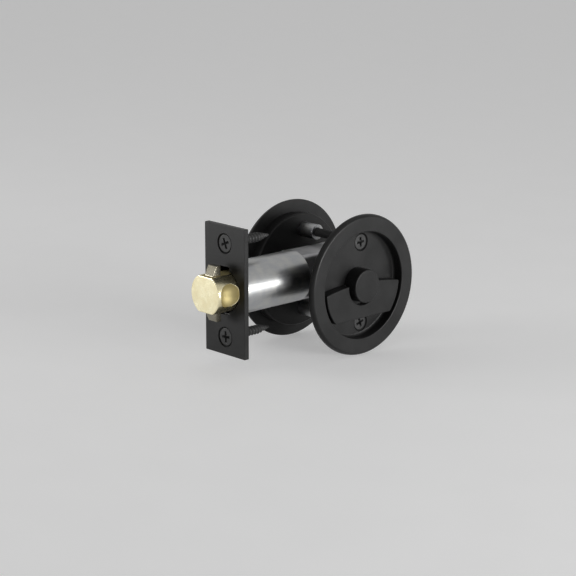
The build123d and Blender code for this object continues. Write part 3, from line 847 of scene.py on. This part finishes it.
# %% Bolt outline and scoop
BOLT_FRONT, BOLT_REAR = FACE_FRONT - 11.2, FACE_FRONT + 22.4
BOLT_R, BOLT_HALF_H, BOLT_STEPS = 9.1, 8.0, 44
SCOOP_X, SCOOP_R, SCOOP_FLOOR, SCOOP_STROKE = FACE_FRONT - 4.65, 5.7, 5.7, 1.8
BALL_STEPS, SCOOP_STEPS = 32, 128


def bolt_line():
    meet = math.degrees(math.asin(BOLT_HALF_H / BOLT_R))
    right = arc((0, 0), BOLT_R, -meet, meet, BOLT_STEPS)
    return right + arc((0, 0), BOLT_R, 180 - meet, 180 + meet, BOLT_STEPS)


def scoop(side):
    """What a ball-ended cutter takes out of one side, moving a little up and down."""
    half = SCOOP_STROKE / 2
    line = arc((0, -half), SCOOP_R, -90, 0, BALL_STEPS) + arc((0, half), SCOOP_R, 0, 90, BALL_STEPS)
    cutter = turned("scoop", line, SCOOP_STEPS)
    cutter.transform(Matrix.Rotation(QUARTER, 4, "X"))
    return moved(cutter, side * (SCOOP_FLOOR + SCOOP_R), 0, SCOOP_X)


print("the bolt stands out by", round(FACE_FRONT - BOLT_FRONT, 2), "mm")

# %% Bolt
BOLT_ROUND, BOLT_ROUND_STEPS, BOLT_BREAK = 0.35, 5, 0.08
SLIDE = 0.12
DOG_FRONT, DOG_REAR, DOG_HALF = FACE_FRONT - 9.0, FACE_FRONT - 4.5, 2.65
ROD_NEAR, ROD_FAR, ROD_HALF = 2.73, 4.57, 7.02
TAIL_NEAR, TAIL_FAR, TAIL_HALF = -4.47, -2.83, 5.02
ROD_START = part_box("dog_rod")[0][0] / MM - SLIDE
TAIL_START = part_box("bolt_tail")[0][0] / MM
SLOT_END = BOLT_REAR + PAST
bolt = plate("bolt", bolt_line(), BOLT_FRONT, BOLT_REAR, BOLT_ROUND, BOLT_ROUND_STEPS)
dog_low = (-DOG_HALF - SLIDE, -BOLT_R, DOG_FRONT - SLIDE)
dog_high = (DOG_HALF + SLIDE, BOLT_R, DOG_REAR + SLIDE)
slots = [
    box("dog slot", dog_low, dog_high),
    box("rod slot", (ROD_NEAR, -ROD_HALF, ROD_START), (ROD_FAR, ROD_HALF, SLOT_END)),
    box("tail slot", (TAIL_NEAR, -TAIL_HALF, TAIL_START), (TAIL_FAR, TAIL_HALF, SLOT_END)),
]
bolt = combine(bolt, "DIFFERENCE", scoop(1), scoop(-1), *slots)
set_down("bolt_machined", soften(bolt, BOLT_BREAK), ALONG_BOLT, "bolt", "bolt")

# %% Dogs
DOG_LOW, DOG_TIP = 4.7, 12.25
DOG_SLOPE = math.tan(math.radians(25))
DOG_BREAK, DOG_STEPS, DOG_SHARP = 0.22, 3, math.radians(15)
DOG_FRAME = frame_at((0, 0, 0), (1, 0, 0), (0, -1, 0))
for name, body, sign in (("dog_upper", "upper_dog", 1), ("dog_lower", "lower_dog", -1)):
    dog_line = [
        (DOG_FRONT, sign * DOG_LOW), (DOG_REAR, sign * DOG_LOW), (DOG_REAR, sign * DOG_TIP),
        (DOG_FRONT + (DOG_TIP - BOLT_HALF_H) * DOG_SLOPE, sign * DOG_TIP), (DOG_FRONT, sign * BOLT_HALF_H),
    ]
    dog = soften(plate(name, dog_line, -DOG_HALF, DOG_HALF), DOG_BREAK, DOG_STEPS, DOG_SHARP)
    set_down(name + "_block", dog, DOG_FRAME, body, name)

# %% [markdown]
# ## Screws
#
# Three kinds of countersunk cross-head screw hold the lock together: two wood screws in the faceplate, two
# long machine screws through the cups, and three short ones in the case's cover. A screw is a turned blank
# whose thread the lathe tree cuts along a helix. Its head has a short straight edge, rounded on top, above
# the cone, and the straight mouth of the countersink round it leaves the dark ring that real heads have. A
# tapered cross is cut into the head. Each kind is then set out on its own places by a second tree, which
# turns each copy as its recess came to rest.

# %% Cross recess
CROSS_HALF, CROSS_SHARE, CROSS_POINT = 0.55, 0.62, -2.2
CROSS_TAPER = [(-1.1, 0.75, 0.9), (-1.6, 0.5, 0.8)]
CROSS_BREAK = LIP / 2


def cross_cutter(head_r):
    """A cross recess, narrowing downwards to a point, with a broken edge at its mouth."""
    reach = CROSS_SHARE * head_r
    rings = [
        (CROSS_BREAK, reach + CROSS_BREAK, CROSS_HALF + CROSS_BREAK), (-CROSS_BREAK, reach, CROSS_HALF)
    ]
    rings += [(height, long * reach, wide * CROSS_HALF) for height, long, wide in CROSS_TAPER]
    bm = bmesh.new()
    loops = []
    for height, long, wide in rings:
        arm = [(long, -wide), (long, wide), (wide, wide)]
        corners = []
        for turn in range(4):
            spin = Matrix.Rotation(math.radians(90 * turn), 2)
            corners += [spin @ Vector(corner) for corner in arm]
        loops.append([bm.verts.new((x, y, height)) for x, y in corners])
    count = len(loops[0])
    for upper, lower in zip(loops, loops[1:]):
        for index in range(count):
            after = (index + 1) % count
            bm.faces.new((upper[index], upper[after], lower[after], lower[index]))
    point = bm.verts.new((0, 0, CROSS_POINT))
    for index in range(count):
        bm.faces.new((loops[-1][index], loops[-1][(index + 1) % count], point))
    bm.faces.new(loops[0])
    mesh = bpy.data.meshes.new("cross")
    bm.to_mesh(mesh)
    bm.free()
    return facing_out(mesh)


print("a cross recess is", 2 * CROSS_HALF, "mm wide in each arm and", -CROSS_POINT, "mm deep")

# %% Screw blanks
HEAD_EDGE, HEAD_ROUND, HEAD_GAP = 0.65, 0.32, 0.02
ROWS_A_TURN, POINTED, SCREW_STEPS = 8, 0.8, 48


def screw_blank(name, head_r, shank_r, length, tip, thread):
    """A countersunk screw with its head's top at z = 0, threaded where the thread says."""
    shank_top, shank_end = shank_r - head_r - HEAD_EDGE, tip - length
    line = rounded([(0, 0), (head_r, 0, HEAD_ROUND), (head_r, -HEAD_EDGE), (shank_r, shank_top)])[:-1]
    rows = max(2, round((shank_top - shank_end) / thread["Pitch"] * ROWS_A_TURN))
    for row in range(rows + 1):
        share = row / rows
        line.append((shank_r, shank_top * (1 - share) + shank_end * share))
    tip_rows = max(1, round(tip / thread["Pitch"] * ROWS_A_TURN))
    for row in range(1, tip_rows + 1):
        share = row / tip_rows
        line.append((shank_r * (1 - POINTED * share), shank_end - tip * share))
    line.append((0, -length))
    blank = turned(name, line, SCREW_STEPS, thread, screw_black)
    return combine(blank, "DIFFERENCE", cross_cutter(head_r))


def thread_between(low, high, pitch, root):
    return {"Thread low": low, "Thread high": high, "Pitch": pitch, "Root share": root}


def sunk(csk_r, head_r):
    """How far a head's top lies below the surface when its cone rests in the countersink's."""
    return csk_r - head_r + CSK_MOUTH - HEAD_EDGE - HEAD_GAP


print("a head has a straight edge of", HEAD_EDGE, "mm above its cone")

# %% The tree that sets screws out
def screw_set_tree():
    tree = new_tree("screws set out", {"Blank": "Object", "Finish": "Material"})
    given = tree.given
    original = {"transform_space": "ORIGINAL"}
    blank = tree.node("GeometryNodeObjectInfo", original, {0: given["Blank"]}, "Geometry")
    turn = tree.node("GeometryNodeInputNamedAttribute", {"data_type": "FLOAT"}, {"Name": "turn"})
    spin = tree.node("ShaderNodeCombineXYZ", {}, {"X": 0.0, "Y": 0.0, "Z": turn})
    sockets = {"Points": given["Geometry"], "Instance": blank, "Rotation": spin}
    return end_tree(tree, tree.node("GeometryNodeInstanceOnPoints", {}, sockets))


SCREW_SET = screw_set_tree()


def screws(name, blank, places, turns, place, *replaced):
    """Copies of a blank at places in one frame, each turned by its own angle in degrees."""
    points = bpy.data.meshes.new(name)
    points.from_pydata([Vector(p) for p in places], [], [])
    attribute = points.attributes.new("turn", "FLOAT", "POINT")
    attribute.data.foreach_set("value", [math.radians(t) for t in turns])
    obj, tool = as_object(points), as_object(blank)
    step = obj.modifiers.new("set out", "NODES")
    step.node_group = SCREW_SET
    set_inputs(step, {"Blank": tool, "Finish": FINISHES[SLOT_OF[replaced[0]]]})
    made = settle(obj)
    for used in (obj, tool):
        bpy.data.objects.remove(used)
    return set_down(name, made, place, "lock_body", *replaced)


print("the tree that sets screws out has", len(SCREW_SET.nodes), "nodes")

# %% Faceplate and cup screws
FACE_HEAD_R, CUP_HEAD_R = 3.95, 3.5
face_thread = thread_between(low=-24.6, high=-8.0, pitch=1.7, root=0.28)
face_blank = screw_blank("wood screw", FACE_HEAD_R, shank_r=2.1, length=25.0, tip=6.0, thread=face_thread)
face_sunk = sunk(FACE_CSK_R, FACE_HEAD_R)
face_places = [(0, FACE_SCREW_Z, -face_sunk), (0, -FACE_SCREW_Z, -face_sunk)]
screws("faceplate_wood_screws", face_blank, face_places, (22, 3), face_frame(0), "faceplate_screws")

cup_thread = thread_between(low=-32.6, high=-9.0, pitch=0.7, root=0.17)
cup_blank = screw_blank("machine screw", CUP_HEAD_R, shank_r=2.0, length=33.0, tip=0.0, thread=cup_thread)
cup_places = [(x, y, FLOOR - sunk(CUP_CSK_R, CUP_HEAD_R)) for x, y in CUP_SCREWS]
screws("cup_machine_screws", cup_blank, cup_places, (4, 18), INSIDE, "cup_screws")

# %% Cover screws
COVER_HEAD_R, CASE_SIDE = 1.9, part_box("case_cover")[1][1] / MM
COVER_SCREWS = [(71.6, 6.5), (71.6, -6.5), (40.4, -5.0)]
COVER_FRAME = frame_at((0, CASE_SIDE, 0), (-1, 0, 0), (0, 1, 0))
cover_thread = thread_between(low=-4.9, high=-1.4, pitch=0.45, root=0.17)
cover_blank = screw_blank("cover screw", COVER_HEAD_R, shank_r=1.1, length=5.0, tip=0.0, thread=cover_thread)
cover_places = [(-x, z, 0) for x, z in COVER_SCREWS]
screws("case_cover_screws", cover_blank, cover_places, (10, 35, 62), COVER_FRAME, "cover_screws")

# %% [markdown]
# ## The works behind
#
# Behind the faceplate a drawn tube guides the bolt, and a cast case at its rear carries the crank. They are
# hidden once the lock is fitted, but they show here, so their solids are kept and only their edges change.
# A copy of a solid's mesh comes as loose triangles: it is merged, its flat triangles are joined into faces,
# and a small bevel breaks the edges as tumbling does.

# %% Softened solids
FLAT = math.radians(0.5)
LOCK_MM = Matrix.Scale(MM, 4)
EDGE_BREAKS = {"latch_tube": 0.12, "rear_case": 0.25, "case_cover": 0.12, "screw_posts": 0.15}


def softened(node, width):
    """A copy of a solid with its sharp edges broken, in millimetres."""
    mesh = frame["nodes"][node].data.copy()
    mesh.transform(Matrix.Scale(1 / MM, 4))
    bm = bmesh.new()
    bm.from_mesh(mesh)
    bmesh.ops.remove_doubles(bm, verts=bm.verts, dist=TOUCH)
    bmesh.ops.dissolve_limit(bm, angle_limit=FLAT, verts=bm.verts, edges=bm.edges)
    bm.to_mesh(mesh)
    bm.free()
    return soften(mesh, width)


for node, width in EDGE_BREAKS.items():
    set_down(node + "_softened", softened(node, width), LOCK_MM, "lock_body", node)

# %% [markdown]
# ## Floor, light and camera
#
# The lock stands on its two rims on a plain pale floor. The world gives a little even light from all sides.
# Three softboxes do the rest: a wide one to the right of the near cup models its recess, one from behind on
# the left lights the faceplate and the bolt's nose, and a small one straight ahead draws a fine line of
# light along the rounded edges. Stronger lamps would pale the black, so the floor and the world glow a
# little more only for the rays that show them. The lens is long, as in a catalogue picture, so the rim
# stays close to a true ellipse.

# %% Floor
FLOOR_Z = cad_box[0][2] - 0.0002
FLOOR_SIZE, FLOOR_MIDDLE = 6.0, 0.04
FLOOR_GLOW, FLOOR_ROUGHNESS = 0.28, 0.75
PAPER_TONES, PAPER_SPAN = (0.78, 0.80), (0.3, 0.7)
PAPER_CLOUD, PAPER_GRAIN, PAPER_DEPTH = 30.0, 0.8, 0.01


def background_rays(tree):
    """One for the rays that show the background: from the camera, off shiny metal and through glass."""
    seen = tree.node("ShaderNodeLightPath", out="Is Camera Ray")
    outputs = seen.socket.node.outputs
    shown = seen + Wire(tree, outputs["Is Glossy Ray"]) + Wire(tree, outputs["Is Transmission Ray"])
    return shown.math("MINIMUM", shown, 1.0)


bpy.ops.mesh.primitive_plane_add(size=FLOOR_SIZE, location=(FLOOR_MIDDLE, 0.0, FLOOR_Z))
floor = bpy.context.object
floor.name = "floor"
paper = Finish("pale_paper")
paper_tone = paper.smooth_step(paper.noise(PAPER_CLOUD), *PAPER_SPAN)
paper_bump = paper.bump(paper.noise(PAPER_GRAIN), PAPER_DEPTH)
paper_colour = paper.mix(paper_tone, grey(PAPER_TONES[0]), grey(PAPER_TONES[1]))
paper_glow = paper.mix(background_rays(paper), grey(0.0), grey(FLOOR_GLOW))
floor.data.materials.append(
    paper.close(paper_colour, FLOOR_ROUGHNESS, paper_bump, Emission_Color=paper_glow, Emission_Strength=1.0)
)
print("floor at", round(FLOOR_Z / MM, 2), "mm")

# %% World
WORLD_LIGHT, WORLD_GLOW = 0.23, 0.29
world = bpy.data.worlds.new("studio")
bpy.context.scene.world = world
world.use_nodes = True
world.node_tree.nodes.clear()
sky = Tree(world.node_tree)
strength = WORLD_LIGHT + background_rays(sky) * WORLD_GLOW
backdrop = sky.node("ShaderNodeBackground", {}, {"Color": grey(1.0), "Strength": strength})
sky.node("ShaderNodeOutputWorld", {}, {"Surface": backdrop})
print("the world lights with", WORLD_LIGHT, "and shows as", round(WORLD_LIGHT + WORLD_GLOW, 2))

# %% Lamps
CENTRE = Vector((0.045, 0.0, -0.004))


def lamp(name, offset, width, height, watts):
    """A softbox that looks at the lock's middle."""
    data = bpy.data.lights.new(name, "AREA")
    data.shape = "RECTANGLE"
    data.size = width
    data.size_y = height
    data.energy = watts
    obj = bpy.data.objects.new(name, data)
    bpy.context.scene.collection.objects.link(obj)
    obj.location = CENTRE + Vector(offset)
    obj.rotation_euler = (-Vector(offset)).to_track_quat("-Z", "Y").to_euler()
    return obj


lamps = [
    lamp("cup_lamp", (0.34, -0.87, 0.06), width=0.42, height=0.16, watts=5.2),
    lamp("face_lamp", (-0.62, 0.58, 0.06), width=0.40, height=0.30, watts=3.8),
    lamp("front_lamp", (0.02, -0.96, 0.12), width=0.20, height=0.14, watts=2.7),
]
print("lamps:", [obj.name for obj in lamps])

# %% Camera
YAW, PITCH = math.radians(43.22), math.radians(14.17)
CAMERA_MM = Vector((-520.84, -591.366, 199.595))
camera_data = bpy.data.cameras.new("camera")
camera_data.sensor_width = 36.0
camera_data.lens = 118.0
camera_data.clip_start, camera_data.clip_end = 0.01, 50.0
camera = bpy.data.objects.new("camera", camera_data)
bpy.context.scene.collection.objects.link(camera)
camera.location = CAMERA_MM * MM
forward = Vector((math.sin(YAW) * math.cos(PITCH), math.cos(YAW) * math.cos(PITCH), -math.sin(PITCH)))
camera.rotation_euler = forward.to_track_quat("-Z", "Y").to_euler()
bpy.context.scene.camera = camera
bpy.context.scene.view_settings.view_transform = "Standard"
away = round((camera.location - CENTRE).length, 3)
print("the camera is", away, "m away, with a lens of", camera_data.lens, "mm")
